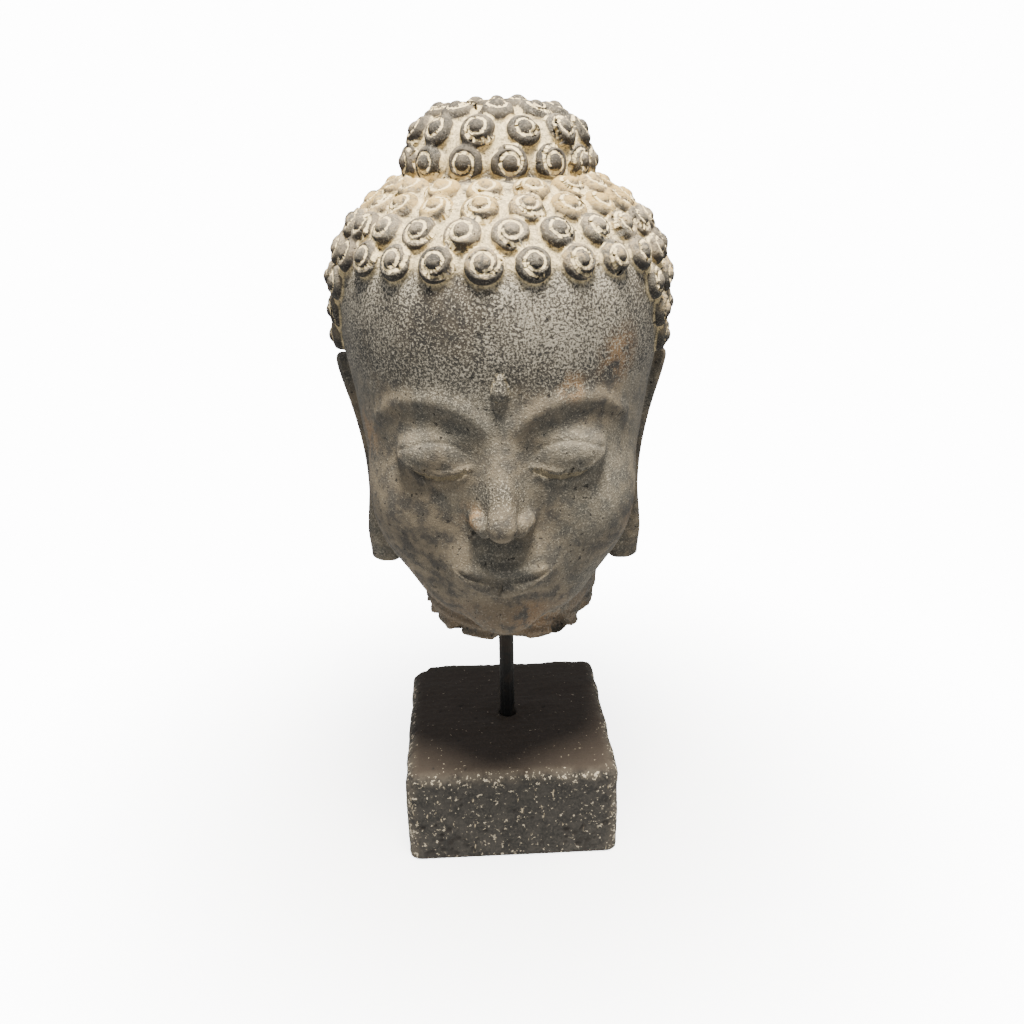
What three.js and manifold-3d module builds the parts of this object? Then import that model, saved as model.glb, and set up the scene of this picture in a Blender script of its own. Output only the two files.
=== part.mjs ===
// A weathered stone head with snail-shell curls, held above a rough block by an iron rod.
// Millimetres, +Z up, the face towards -Y. The origin is at the centre of the block's underside.

import * as THREE from 'three';
import { ConvexGeometry } from 'three/addons/geometries/ConvexGeometry.js';
import { RoundedBoxGeometry } from 'three/addons/geometries/RoundedBoxGeometry.js';
import { mergeVertices } from 'three/addons/utils/BufferGeometryUtils.js';
import Module from 'manifold-3d';

// Stand
const blockWidth = 110;
const blockDepth = 114;
const blockHeight = 52;
const blockRound = 6.5; // radius of the worn upper edges and corners
const blockTurn = 2.6; // degrees that the block stands askew of the face
const cornerChip = 11; // radius of the piece broken from the block's back left corner
const rodDiameter = 8;
const rodShown = 69; // bare rod between the block and the front of the broken neck
const rodInBlock = 32;
const rodInHead = 60;
const fitGap = 0.3; // between the rod and its holes, all round and at both ends

// Head. Its forms are laid out in fingers: twelve of them from the hairline to the chin.
const faceHeight = 160;
const finger = faceHeight / 12;
const neckBelowChin = 1.12; // fingers from the chin down to the front of the break
const curlWidth = 15.6;
const curlRise = 6.2; // how far a curl stands out of the scalp
const curlPitch = 19; // from curl to curl along a row
const rowPitch = 13.4; // from row to row

// How far apart the points of the carved surface lie
const fineStep = 2.9; // eyes, nose and mouth
const faceStep = 7; // the rest of the face
const plainStep = 14; // neck and nape
const footStep = 4.4; // round the feet of the curls
const leastStep = 1.6; // anywhere

// In this section every length is in fingers. Points are [right, back, up] from the rod's axis
// and the level of the chin.

// An egg is an ellipsoid whose upper and lower halves have heights of their own. Square says how boxy
// it is, 2 being round, and below says it for the lower half where that differs.
const cranium = { at: [0, 0.9, 11.05], wide: 5.78, deep: 6.9, up: 4.25, down: 8.6, square: 2.25, below: 2 };
const topknot = { at: [0, 1.2, 14.6], wide: 3.08, deep: 3.2, up: 2.5, down: 2.5, square: 3.2 };
const face = { at: [0, -0.75, 6.7], wide: 4.9, deep: 5.0, up: 5.0, down: 6.7, square: 2 };
const jaw = { at: [0, -2.9, 2.3], wide: 3.2, deep: 2.5, up: 2.6, down: 2.3, square: 2.2 };
const chin = { at: [0, -4.45, 0.98], wide: 1.1, deep: 0.95, up: 0.9, down: 0.98, square: 2 };
const muzzle = { at: [0, -4.4, 2.9], wide: 1.9, deep: 1.45, up: 1.6, down: 1.3, square: 2 };
const neck = { at: [0.2, 1.1, 0], wide: 3.5, deep: 4.4, up: 6, down: 3.4, square: 8 };

function eggShare(egg, [x, y, z]) {
  const across = Math.hypot((x - egg.at[0]) / egg.wide, (y - egg.at[1]) / egg.deep);
  const rise = z - egg.at[2];
  const along = Math.abs(rise) / (rise > 0 ? egg.up : egg.down);
  const power = boxiness(egg, rise);
  return (across ** power + along ** power) ** (1 / power);
}

const boxiness = (egg, rise) => (rise > 0 ? egg.square : egg.below ?? egg.square);

// Distance out of an egg, measured along the line from its centre
function outOfEgg(egg, point) {
  const reach = Math.hypot(point[0] - egg.at[0], point[1] - egg.at[1], point[2] - egg.at[2]);
  return reach - reach / Math.max(eggShare(egg, point), 1e-6);
}

// Distance out of a rod that runs through the given points, its radius going from one value to another
function outOfStroke(points, radii, [x, y, z]) {
  let nearest = Infinity;
  for (let i = 0; i + 1 < points.length; i++) {
    const [a, b] = [points[i], points[i + 1]];
    const along = [b[0] - a[0], b[1] - a[1], b[2] - a[2]];
    const from = [x - a[0], y - a[1], z - a[2]];
    const dot = from[0] * along[0] + from[1] * along[1] + from[2] * along[2];
    const t = Math.min(Math.max(dot / (along[0] ** 2 + along[1] ** 2 + along[2] ** 2), 0), 1);
    const radius = radii[i] + (radii[i + 1] - radii[i]) * t;
    const off = Math.hypot(from[0] - along[0] * t, from[1] - along[1] * t, from[2] - along[2] * t);
    nearest = Math.min(nearest, off - radius);
  }
  return nearest;
}

// Joins two forms with a soft crease, or hollows the second out of the first
function join(a, b, soft) {
  const overlap = Math.max(soft - Math.abs(a - b), 0) / soft;
  return Math.min(a, b) - (overlap * overlap * soft) / 4;
}
const hollow = (a, b, soft) => -join(-a, b, soft);

const smooth = (from, to, value) => THREE.MathUtils.smoothstep(value, from, to);

// The lowest level that hair reaches, from the brow round the ear to the nape
function hairline(x, y) {
  const turn = THREE.MathUtils.radToDeg(Math.atan2(Math.abs(x), cranium.at[1] - y));
  return 12 - 3.2 * smooth(48, 74, turn) - 4.4 * smooth(98, 122, turn);
}

// Rows of curls round an egg, one row's pitch apart down its front profile. The shifts are shares of
// the pitch, one for each upper row. Below those the rows keep one count, each set between the last.
function curlsOn(egg, firstRow, shifts, isHair) {
  const curls = [];
  const step = 0.002;
  let run = -firstRow / finger;
  let row = 0;
  let count = 0;
  let last = null;
  for (let tilt = step; tilt < Math.PI; tilt += step) {
    const way = [0, -Math.sin(tilt), Math.cos(tilt)];
    const reach = 1 / eggShare({ ...egg, at: [0, 0, 0] }, way);
    const spot = [0, way[1] * reach, way[2] * reach];
    run += last ? Math.hypot(spot[1] - last[1], spot[2] - last[2]) : 0;
    last = spot;
    if (run < 0) continue;
    run -= rowPitch / finger;
    const share = Math.abs(spot[1]) / egg.deep;
    const [half, quarter] = [egg.deep * share, Math.PI / 2];
    const ring = new THREE.EllipseCurve(0, 0, egg.wide * share, half, -quarter, 3 * quarter);
    const shift = shifts[row] ?? shifts.at(-1) + ((row - shifts.length + 1) % 2) / 2;
    if (row < shifts.length) count = Math.max(Math.round((ring.getLength() * finger) / curlPitch), 1);
    curls.push(...curlRing(egg, ring, share, egg.at[2] + spot[2], count, shift));
    row += 1;
  }
  return curls.filter((curl) => isHair(curl.at));
}

// Curls at equal steps round one level of an egg, where its outline is a share of its widest
function curlRing(egg, ring, share, level, count, shift) {
  return Array.from({ length: count }, (_, i) => {
    const spot = ring.getPointAt((i + shift + count) / count % 1);
    const at = [egg.at[0] + spot.x, egg.at[1] + spot.y, level];
    const rise = level - egg.at[2];
    const half = rise > 0 ? egg.up : egg.down;
    const power = boxiness(egg, rise);
    const out = new THREE.Vector3(
      (spot.x / egg.wide ** 2) * share ** (power - 2),
      (spot.y / egg.deep ** 2) * share ** (power - 2),
      (Math.sign(rise) * Math.abs(rise / half) ** (power - 1)) / half,
    );
    return { at, out: out.normalize() };
  });
}

const headCurls = curlsOn(cranium, 4.28 * rowPitch, [-0.25, -0.36, 0.28, -0.27], ([x, y, z]) => {
  const isUnderTopknot = z > cranium.at[2] && Math.hypot(x, y - topknot.at[1]) < topknot.wide + 0.35;
  return !isUnderTopknot && z > hairline(x, y) + 0.45;
});
const topknotCurls = curlsOn(topknot, 0, [0, 0.5, 0, -0.4, 0.28], (at) => at[2] > topknot.at[2] + 0.35);

// Distance out of a curl: a squarish dome standing on the scalp
function outOfCurl(curl, [x, y, z]) {
  const from = [x - curl.at[0], y - curl.at[1], z - curl.at[2]];
  const reach = Math.hypot(...from);
  const rise = from[0] * curl.out.x + from[1] * curl.out.y + from[2] * curl.out.z;
  const across = Math.sqrt(Math.max(reach ** 2 - rise ** 2, 0)) / (curlWidth / 2 / finger);
  const along = Math.abs(rise) / (curlRise / finger);
  const share = (across ** 2.4 + along ** 2.4) ** (1 / 2.4);
  return reach - reach / Math.max(share, 1e-6);
}

const nose = [[0, -5.3, 7.8], [0, -5.75, 6.6], [0, -6.25, 5.4], [0, -6.6, 4.85]];
const noseRadii = [0.36, 0.36, 0.42, 0.56];
const wing = [[0.5, -6.0, 4.6], [0.74, -5.7, 4.72], [0.78, -5.45, 4.8]];
const noseRoot = { at: [0, -5.0, 5.0], wide: 1.05, deep: 1.15, up: 2.6, down: 0.8, square: 2 };

// The face before its brows, lids and lips, which are laid on it
function outOfPlainFace(half) {
  const eye = { at: [2.05, -4.7, 6.8], wide: 1.3, deep: 0.88, up: 0.85, down: 0.75, square: 2 };
  const socket = { at: [1.15, -6.5, 7.1], wide: 0.55, deep: 0.8, up: 0.5, down: 0.6, square: 2 };
  const hood = { at: [2.2, -6.25, 7.75], wide: 1.5, deep: 0.75, up: 0.35, down: 0.35, square: 2 };
  const cheek = { at: [2.45, -2.75, 4.6], wide: 2.1, deep: 2.35, up: 2.2, down: 2.6, square: 2 };
  let gap = join(outOfEgg(face, half), outOfEgg(cranium, half), 0.8);
  gap = join(gap, outOfEgg(jaw, half), 1.2);
  gap = join(gap, outOfEgg(cheek, half), 0.9);
  gap = join(gap, outOfEgg(muzzle, half), 0.7);
  gap = join(gap, outOfEgg(chin, half), 0.6);
  gap = hollow(gap, outOfEgg(hood, half), 0.7);
  gap = hollow(gap, outOfEgg(socket, half), 0.6);
  return join(gap, outOfEgg(eye, half), 0.4);
}

// A rod along [right, up, radius] points, laid on the face and sunk by so many of its radii
function onFace(points, sink) {
  const line = points.map(([x, z, radius]) => {
    let y = -8;
    for (let step = 0; step < 80; step++) y += 0.7 * outOfPlainFace([x, y, z]);
    return [x, y + sink * radius, z];
  });
  const radii = points.map((point) => point[2]);
  return (half) => outOfStroke(line, radii, half);
}

const browLine = [[0.5, 7.85, 0.2], [1.1, 8.32, 0.24], [2.1, 8.62, 0.24], [3.2, 8.4, 0.2], [4.0, 7.75, 0.12]];
const lidLine = [[0.98, 6.5, 0.06], [1.5, 6.34, 0.1], [2.1, 6.28, 0.12], [2.7, 6.38, 0.1], [3.3, 6.68, 0.06]];
const slitLine = [[1.02, 6.42, 0.03], [1.5, 6.18, 0.07], [2.1, 6.1, 0.08], [2.7, 6.2, 0.07], [3.2, 6.52, 0.03]];
const brow = onFace(browLine, 0.75);
const lid = onFace(lidLine, 0.1);
const eyeSlit = onFace(slitLine, -0.2);
const upperLip = onFace([[0, 2.9, 0.2], [0.38, 3.02, 0.22], [0.95, 2.9, 0.17], [1.6, 2.84, 0.06]], 0.35);
const lowerLip = onFace([[0, 2.28, 0.3], [0.6, 2.36, 0.27], [1.15, 2.56, 0.16], [1.5, 2.74, 0.06]], 0.45);
const mouthLine = onFace([[0, 2.6, 0.06], [0.4, 2.68, 0.07], [1.0, 2.68, 0.07], [1.75, 2.9, 0.05]], -1.6);

function outOfFace([x, y, z]) {
  const half = [Math.abs(x), y, z];
  let gap = join(outOfPlainFace(half), brow(half), 0.22);
  gap = join(gap, lid(half), 0.12);
  gap = hollow(gap, eyeSlit(half), 0.06);
  gap = join(gap, upperLip(half), 0.14);
  gap = join(gap, lowerLip(half), 0.16);
  return hollow(gap, mouthLine(half), 0.08);
}

const apart = (a, b) => Math.hypot(a[0] - b[0], a[1] - b[1], a[2] - b[2]);

function withCurls(gap, curls, point) {
  for (const curl of curls) {
    if (apart(curl.at, point) < curlWidth / finger) gap = join(gap, outOfCurl(curl, point), 0.1);
  }
  return gap;
}

function outOfNose([x, y, z]) {
  const half = [Math.abs(x), y, z];
  const bridge = join(outOfStroke(nose, noseRadii, half), outOfEgg(noseRoot, half), 0.5);
  return join(bridge, outOfStroke(wing, [0.4, 0.36, 0.3], half), 0.22);
}

// Each carving is seen whole from one point inside it, its heart, so that a direction from there
// meets its surface once.
const headCarving = {
  heart: [0, 0.9, 8.2],
  curls: headCurls,
  out: (point) => withCurls(join(outOfFace(point), outOfEgg(neck, point), 0.9), headCurls, point),
  step: headStep,
};
const topknotCarving = {
  heart: topknot.at,
  curls: topknotCurls,
  out: (point) => withCurls(outOfEgg(topknot, point), topknotCurls, point),
  step: () => plainStep,
};
const noseCarving = { heart: [0, -5.3, 5.3], curls: [], out: outOfNose, step: () => fineStep };
const farthest = 11.5;

function surfacePoint({ heart, out }, way) {
  let reach = farthest;
  let point = heart;
  for (let step = 0; step < 120; step++) {
    point = [heart[0] + way.x * reach, heart[1] + way.y * reach, heart[2] + way.z * reach];
    const gap = out(point);
    if (gap < 1e-4) break;
    reach -= Math.min(gap * 0.7, 0.4);
  }
  return point;
}

// Points round a curl, at a share of its radius and of its rise
function ringRound(curl, count, share, rise) {
  const side = new THREE.Vector3(0, 0, 1).cross(curl.out);
  if (side.length() < 0.01) side.set(1, 0, 0);
  side.normalize();
  return Array.from({ length: count }, (_, i) => {
    const spot = side.clone().applyAxisAngle(curl.out, ((i + 0.5) * 2 * Math.PI) / count);
    spot.multiplyScalar((share * curlWidth) / 2 / finger);
    return spot.addScaledVector(curl.out, (rise * curlRise) / finger).add(new THREE.Vector3(...curl.at));
  });
}

function headStep([x, y, z]) {
  const isFace = y < -0.5 && z > -0.3 && z < hairline(x, y);
  const eyes = Math.hypot((Math.abs(x) - 2) / 1.6, (z - 7) / 1.2) < 1;
  const mouth = Math.hypot(x / 2, (z - 2.7) / 1.1) < 1;
  if (isFace && (eyes || mouth)) return fineStep;
  return isFace ? faceStep : plainStep;
}

// The top, shoulder and foot of each curl, with the valleys between close neighbours shared
function curlSpots(curls) {
  const centres = curls.map((curl) => new THREE.Vector3(...curl.at));
  const tops = curls.map((curl, i) => centres[i].clone().addScaledVector(curl.out, curlRise / finger));
  const shoulders = curls.flatMap((curl) => ringRound(curl, 6, 0.62, 0.82));
  const feet = centres.flatMap((centre, i) => {
    const near = centres.slice(i + 1).filter((other) => centre.distanceTo(other) < (1.25 * curlWidth) / finger);
    return near.map((other) => centre.clone().lerp(other, 0.5));
  });
  curls.forEach((curl, i) => {
    for (const spot of ringRound(curl, 12, 1.1, 0)) {
      const others = centres.filter((_, other) => other !== i);
      const isBetween = others.every((other) => spot.distanceTo(other) > (0.95 * curlWidth) / 2 / finger);
      if (isBetween && feet.every((foot) => spot.distanceTo(foot) > footStep / finger)) feet.push(spot);
    }
  });
  return [...tops, ...shoulders, ...feet];
}

// Directions that sample a carving: its curls first, then the rest as densely as its form needs
function surfaceWays(carving) {
  const heart = new THREE.Vector3(...carving.heart);
  const kept = [];
  const keep = (way, angle) => {
    const nearest = Math.cos(angle);
    if (kept.every((other) => other.dot(way) < nearest)) kept.push(way);
  };
  for (const spot of curlSpots(carving.curls)) {
    const from = spot.sub(heart);
    keep(from.clone().normalize(), leastStep / finger / from.length());
  }
  const count = 12000;
  const goldenTurn = Math.PI * (3 - Math.sqrt(5));
  for (let i = 0; i < count; i++) {
    const tilt = Math.acos(1 - (2 * i + 1) / count);
    const way = new THREE.Vector3().setFromSphericalCoords(1, tilt, i * goldenTurn);
    const point = surfacePoint(carving, way);
    keep(way, carving.step(point) / finger / apart(carving.heart, point));
  }
  return kept;
}

const wasm = await Module();
wasm.setup();

function solidOf(geometry) {
  const bare = geometry.clone();
  bare.deleteAttribute('normal');
  bare.deleteAttribute('uv');
  const merged = mergeVertices(bare);
  const vertProperties = merged.attributes.position.array;
  const triVerts = Uint32Array.from(merged.index.array);
  return new wasm.Manifold(new wasm.Mesh({ numProp: 3, vertProperties, triVerts }));
}

function geometryOf(solid) {
  const mesh = solid.getMesh();
  const geometry = new THREE.BufferGeometry();
  geometry.setAttribute('position', new THREE.BufferAttribute(mesh.vertProperties, 3));
  geometry.setIndex(new THREE.BufferAttribute(mesh.triVerts, 1));
  geometry.computeVertexNormals();
  return geometry;
}

// Moves each vertex of a geometry by a function of its place
function shape(geometry, place) {
  const position = geometry.attributes.position;
  for (let i = 0; i < position.count; i++) {
    position.setXYZ(i, ...place(position.getX(i), position.getY(i), position.getZ(i)));
  }
  return geometry;
}

const neckBreak = blockHeight + rodShown;
const chinLevel = neckBreak + neckBelowChin * finger;

// Turns a place in fingers into millimetres
const inPlace = ([x, y, z]) => [x * finger, y * finger, chinLevel + z * finger];

function carvedSolid(carving) {
  const sphere = new ConvexGeometry(surfaceWays(carving));
  return solidOf(shape(sphere, (x, y, z) => {
    return inPlace(surfacePoint(carving, new THREE.Vector3(x, y, z).normalize()));
  }));
}

// An ear, long and hanging, seen from the side as [back, up]
const earOutline = [
  [0.1, 1.05], [0.5, 0.55], [1.0, 0.85], [1.2, 1.8], [1.25, 3.3], [1.7, 4.7], [2.45, 6.2],
  [2.6, 7.6], [2.0, 8.6], [1.0, 8.75], [0.2, 8.1], [-0.1, 6.8], [-0.15, 5.2], [-0.1, 3.2],
];
const earBowl = [[0.65, 4.9], [1.25, 5.0], [1.85, 6.3], [1.95, 7.4], [1.45, 8.0], [0.75, 7.6], [0.5, 6.3]];
const lobeSlit = [[0.45, 1.4], [0.68, 1.5], [0.78, 2.6], [0.62, 3.6], [0.42, 3.4], [0.36, 2.4]];

function earPlate(outline, from, to, bevel) {
  const edge = new THREE.SplineCurve(outline.map(([back, up]) => new THREE.Vector2(back, up)));
  edge.points.push(edge.points[0].clone());
  const flat = new THREE.Shape(edge.getSpacedPoints(outline.length * 2).slice(0, -1));
  const plate = new THREE.ExtrudeGeometry(flat, {
    depth: to - from,
    steps: 1,
    curveSegments: 1,
    bevelEnabled: bevel > 0,
    bevelThickness: bevel,
    bevelSize: bevel,
    bevelOffset: -bevel,
    bevelSegments: 2,
  });
  return shape(plate, (back, up, out) => {
    const flare = 0.046 * Math.max(up - 4, 0) ** 2 + 0.16 * (1 - smooth(1.8, 4, up));
    const outer = 5.1 + flare + 0.06 * (back - 1);
    const thick = 0.8 + 0.4 * (1 - smooth(1.8, 3.2, up)) + 0.9 * smooth(2.8, 6, up);
    const share = from + out;
    return inPlace([outer - (1 - share) * thick, back, up]);
  });
}

function mirror(geometry) {
  const copy = geometry.clone().applyMatrix4(new THREE.Matrix4().makeScale(-1, 1, 1));
  const flipped = copy.attributes.position;
  for (let i = 0; i < flipped.count; i += 3) {
    const [a, b] = [i, i + 1].map((n) => new THREE.Vector3().fromBufferAttribute(flipped, n));
    flipped.setXYZ(i, ...b.toArray());
    flipped.setXYZ(i + 1, ...a.toArray());
  }
  return copy;
}

function earSolid(side) {
  const [plate, bowl, slit] = [
    earPlate(earOutline, 0, 1, 0.24),
    earPlate(earBowl, 0.75, 1.4, 0),
    earPlate(lobeSlit, 0.78, 1.4, 0),
  ].map((geometry) => solidOf(side > 0 ? geometry : mirror(geometry)));
  return plate.subtract(bowl).subtract(slit);
}

// The level of the broken underside: lowest in front, ragged all over
function breakLevel(x, y) {
  const ragged = 0.13 * Math.sin(x * 2.3 + y * 1.1) + 0.1 * Math.sin(x * 4.7 - y * 3.9 + 1);
  return -neckBelowChin + 0.5 * smooth(-3, 3, y) + ragged * smooth(-3.2, -1.5, y);
}

function brokenAway() {
  const reach = 2 * (neck.deep + 2);
  const slab = new THREE.BoxGeometry(reach, reach, 4, 14, 14, 1);
  return shape(slab, (x, y, z) => inPlace([x, y, z > 0 ? breakLevel(x, y) : -6]));
}

function rodHole(from, to) {
  const hole = new THREE.CylinderGeometry(rodDiameter / 2 + fitGap, rodDiameter / 2 + fitGap, to - from, 32);
  return hole.rotateX(Math.PI / 2).translate(0, 0, (from + to) / 2);
}

function headMesh() {
  let head = carvedSolid(headCarving).add(carvedSolid(topknotCarving)).add(carvedSolid(noseCarving));
  head = head.add(earSolid(1)).add(earSolid(-1));
  head = head.subtract(solidOf(brokenAway()));
  head = head.subtract(solidOf(rodHole(blockHeight, neckBreak + rodInHead + fitGap)));
  return new THREE.Mesh(geometryOf(head), stone('#54493b'));
}

function rodMesh() {
  const length = rodInBlock + rodShown + rodInHead;
  const rod = new THREE.CylinderGeometry(rodDiameter / 2, rodDiameter / 2, length, 32);
  rod.rotateX(Math.PI / 2);
  const iron = new THREE.MeshStandardMaterial({ color: '#1d1a18', roughness: 0.6, metalness: 0.7 });
  const mesh = new THREE.Mesh(rod, iron);
  mesh.position.z = blockHeight - rodInBlock + length / 2;
  return mesh;
}

function blockMesh() {
  const whole = new RoundedBoxGeometry(blockWidth, blockDepth, blockHeight + blockRound, 3, blockRound);
  whole.translate(0, 0, (blockHeight - blockRound) / 2);
  const ground = new THREE.BoxGeometry(2 * blockWidth, 2 * blockDepth, 2 * blockRound);
  ground.translate(0, 0, -blockRound);
  const chip = new THREE.IcosahedronGeometry(cornerChip, 1);
  chip.translate(-blockWidth / 2, blockDepth / 2, blockHeight);
  let block = solidOf(whole).subtract(solidOf(ground)).subtract(solidOf(chip));
  block = block.subtract(solidOf(rodHole(blockHeight - rodInBlock - fitGap, neckBreak)));
  const mesh = new THREE.Mesh(geometryOf(block), stone('#3b3632'));
  mesh.rotation.z = THREE.MathUtils.degToRad(blockTurn);
  return mesh;
}

function stone(color) {
  return new THREE.MeshStandardMaterial({ color, roughness: 0.9, metalness: 0 });
}

const group = new THREE.Group();
for (const [name, mesh] of Object.entries({ head: headMesh(), rod: rodMesh(), block: blockMesh() })) {
  mesh.name = name;
  group.add(mesh);
}

export default group;
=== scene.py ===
"""A weathered stone head with snail-shell curls, on an iron rod in a rough block.

Metres, +Z up, the face towards -Y. The carving is laid out in fingers, twelve of them from the
hairline to the chin, measured from the rod's axis and from the level of the chin.
"""

import math
import random

import bmesh
import bpy
import numpy as np
from mathutils import Matrix, Vector


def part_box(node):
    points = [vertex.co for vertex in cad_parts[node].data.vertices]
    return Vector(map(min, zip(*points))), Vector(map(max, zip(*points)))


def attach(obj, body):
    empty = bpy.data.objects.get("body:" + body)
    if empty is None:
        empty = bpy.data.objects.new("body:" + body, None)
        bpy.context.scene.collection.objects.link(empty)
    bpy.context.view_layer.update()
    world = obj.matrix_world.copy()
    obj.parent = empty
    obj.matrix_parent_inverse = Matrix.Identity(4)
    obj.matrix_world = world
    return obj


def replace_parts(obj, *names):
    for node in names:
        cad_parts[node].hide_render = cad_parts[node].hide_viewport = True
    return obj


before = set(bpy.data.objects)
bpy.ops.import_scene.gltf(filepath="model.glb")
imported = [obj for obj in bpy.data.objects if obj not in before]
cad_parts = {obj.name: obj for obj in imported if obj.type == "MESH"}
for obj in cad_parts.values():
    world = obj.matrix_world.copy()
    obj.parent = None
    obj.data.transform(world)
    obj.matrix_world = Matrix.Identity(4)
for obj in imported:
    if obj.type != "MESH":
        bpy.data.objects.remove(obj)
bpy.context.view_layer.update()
bpy.ops.object.select_all(action="DESELECT")
random.seed(7)
chance = np.random.default_rng(7)

# Places taken from the frame, in metres
ROD_LOW, ROD_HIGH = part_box("rod")
BLOCK_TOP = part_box("block")[1].z

# Sizes in metres
FACE_HEIGHT = 0.160
FINGER = FACE_HEIGHT / 12
ROD_SHOWN = 0.069
ROD_RADIUS = (ROD_HIGH.x - ROD_LOW.x) / 2
ROD_GAP = 0.0003
NECK_BREAK = BLOCK_TOP + ROD_SHOWN

# Sizes of the carving, in fingers
NECK_BELOW_CHIN = 1.12
CURL_WIDTH = 0.0156 / FINGER
CURL_RISE = 0.0062 / FINGER
CURL_PITCH = 0.019 / FINGER
ROW_PITCH = 0.0134 / FINGER
ROD_HOLE = (ROD_RADIUS + ROD_GAP) / FINGER

# The level that the carving is measured from, in metres, and the rod's top above it, in fingers
CHIN_LEVEL = NECK_BREAK + NECK_BELOW_CHIN * FINGER
ROD_TOP = (ROD_HIGH.z - CHIN_LEVEL) / FINGER

# The spiral groove of a curl, in shares of the curl's radius: a ring that widens over one turn, and
# a tail that goes on from it to the edge
RING_START, RING_GROWTH = 0.44, 0.14
TAIL_START, TAIL_GROWTH = 0.58, 0.75
GROOVE_WIDTH = 0.1

# How square the dome of a curl is. A round one has 2.
CURL_SQUARE = 2.4

# How fine the carved meshes are, in metres, and how many triangles the head keeps
START_GRAIN = 0.002
GRAIN = 0.00092
BLOCK_GRAIN = 0.00125
HEAD_TRIANGLES = 196000


# Sums that the forms share

def sizes(ways):
    """The length of each row of numbers, taken as a direction."""
    return np.linalg.norm(ways, axis=1)


def past_skin(reach, share):
    """Distance past a skin, from the distance to its middle and the share of the way out to it."""
    return reach - reach / np.maximum(share, 1e-6)


def beside(p, a, b):
    """How far each point lies from the straight line between a and b, and how far along, 0 to 1."""
    along = b - a
    t = np.clip((p - a) @ along / (along @ along), 0, 1)
    return sizes(p - a - t[:, None] * along), t


def between(before, a, b, after, t):
    """The point that lies t of the way from a to b on a smooth line through all four."""
    return 0.5 * (2 * a + (b - before) * t + (2 * before - 5 * a + 4 * b - after) * t ** 2
                  + (3 * a - before - 3 * b + after) * t ** 3)


def run_along(line):
    """How far along a line each of its points lies."""
    return np.concatenate([[0], np.cumsum(sizes(np.diff(line, axis=0)))])


# Forms of the head, in fingers

class Egg:
    """An ellipsoid whose upper and lower halves have heights and squareness of their own."""

    def __init__(self, at, wide, deep, up, down, square=2.0, below=None):
        self.at = np.array(at, float)
        self.wide, self.deep = wide, deep
        self.up, self.down = up, down
        self.square, self.below = square, below or square
        self.low = self.at - (wide, deep, down)
        self.high = self.at + (wide, deep, up)

    def power(self, rise):
        return np.where(rise > 0, self.square, self.below)

    def share(self, p):
        across = np.hypot((p[:, 0] - self.at[0]) / self.wide, (p[:, 1] - self.at[1]) / self.deep)
        rise = p[:, 2] - self.at[2]
        along = np.abs(rise) / np.where(rise > 0, self.up, self.down)
        power = self.power(rise)
        return (across ** power + along ** power) ** (1 / power)

    def out(self, p):
        return past_skin(sizes(p - self.at), self.share(p))


class Stroke:
    """A rod through the points, its radius changing from one to the next."""

    def __init__(self, points, radii):
        self.points, self.radii = np.array(points, float), radii
        self.low = self.points.min(0) - max(radii)
        self.high = self.points.max(0) + max(radii)

    def out(self, p):
        nearest = np.full(len(p), np.inf)
        for a, b, ra, rb in zip(self.points, self.points[1:], self.radii, self.radii[1:]):
            off, t = beside(p, a, b)
            nearest = np.minimum(nearest, off - ra - (rb - ra) * t)
        return nearest


def join(a, b, soft):
    """Both distances as one form's, with the corner where they meet filled in."""
    overlap = np.maximum(soft - np.abs(a - b), 0) / soft
    return np.minimum(a, b) - overlap * overlap * soft / 4


def hollow(a, b, soft):
    """The first form with the second cut out of it, and the new edge softened."""
    return -join(-a, b, soft)


def smooth(low, high, value):
    t = np.clip((value - low) / (high - low), 0, 1)
    return t * t * (3 - 2 * t)


def carve_in(gap, form, p, soft, cut=False):
    """Joins a form to what stands so far, or cuts it out, where it comes near."""
    near = np.all((p > form.low - soft - 0.5) & (p < form.high + soft + 0.5), axis=1)
    part = form.out(p[near])
    gap[near] = hollow(gap[near], part, soft) if cut else join(gap[near], part, soft)
    return gap


CRANIUM = Egg((0, 0.9, 11.05), 5.78, 6.9, 4.25, 8.6, square=2.25, below=2)
TOPKNOT = Egg((0, 1.2, 14.6), 3.08, 3.2, 2.5, 2.5, square=3.2)
FACE = Egg((0, -0.75, 6.7), 4.9, 5.0, 5.0, 6.7)
JAW = Egg((0, -2.9, 2.3), 3.2, 2.5, 2.6, 2.3, square=2.2)
CHEEK = Egg((2.45, -2.75, 4.6), 2.1, 2.35, 2.2, 2.6)
MUZZLE = Egg((0, -4.4, 2.9), 1.9, 1.45, 1.6, 1.3)
CHIN = Egg((0, -4.45, 0.98), 1.1, 0.95, 0.9, 0.98)
NECK = Egg((0.2, 1.1, 0), 3.5, 4.4, 6, 3.4, square=8)
HOOD = Egg((2.2, -6.4, 7.75), 1.5, 0.75, 0.35, 0.35)
SOCKET = Egg((1.15, -6.5, 7.1), 0.55, 0.8, 0.5, 0.6)
EYE = Egg((2.05, -4.7, 6.8), 1.3, 0.88, 0.85, 0.75)
NOSE = Stroke([(0, -5.3, 7.8), (0, -5.75, 6.6), (0, -6.25, 5.4), (0, -6.6, 4.85)],
              [0.36, 0.36, 0.4, 0.5])
NOSE_ROOT = Egg((0, -5.0, 5.0), 1.05, 1.15, 2.6, 0.8)
NOSE_WING = Stroke([(0.5, -6.0, 4.6), (0.74, -5.7, 4.72), (0.78, -5.45, 4.8)], [0.35, 0.33, 0.28])
NOSTRIL = Egg((0.34, -6.1, 4.28), 0.15, 0.24, 0.1, 0.1)
NOSE_TIP = Egg((0, -6.55, 4.86), 0.56, 0.6, 0.56, 0.56)
NOSE_SIDE = Egg((0.68, -5.75, 4.72), 0.42, 0.55, 0.4, 0.4)


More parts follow.
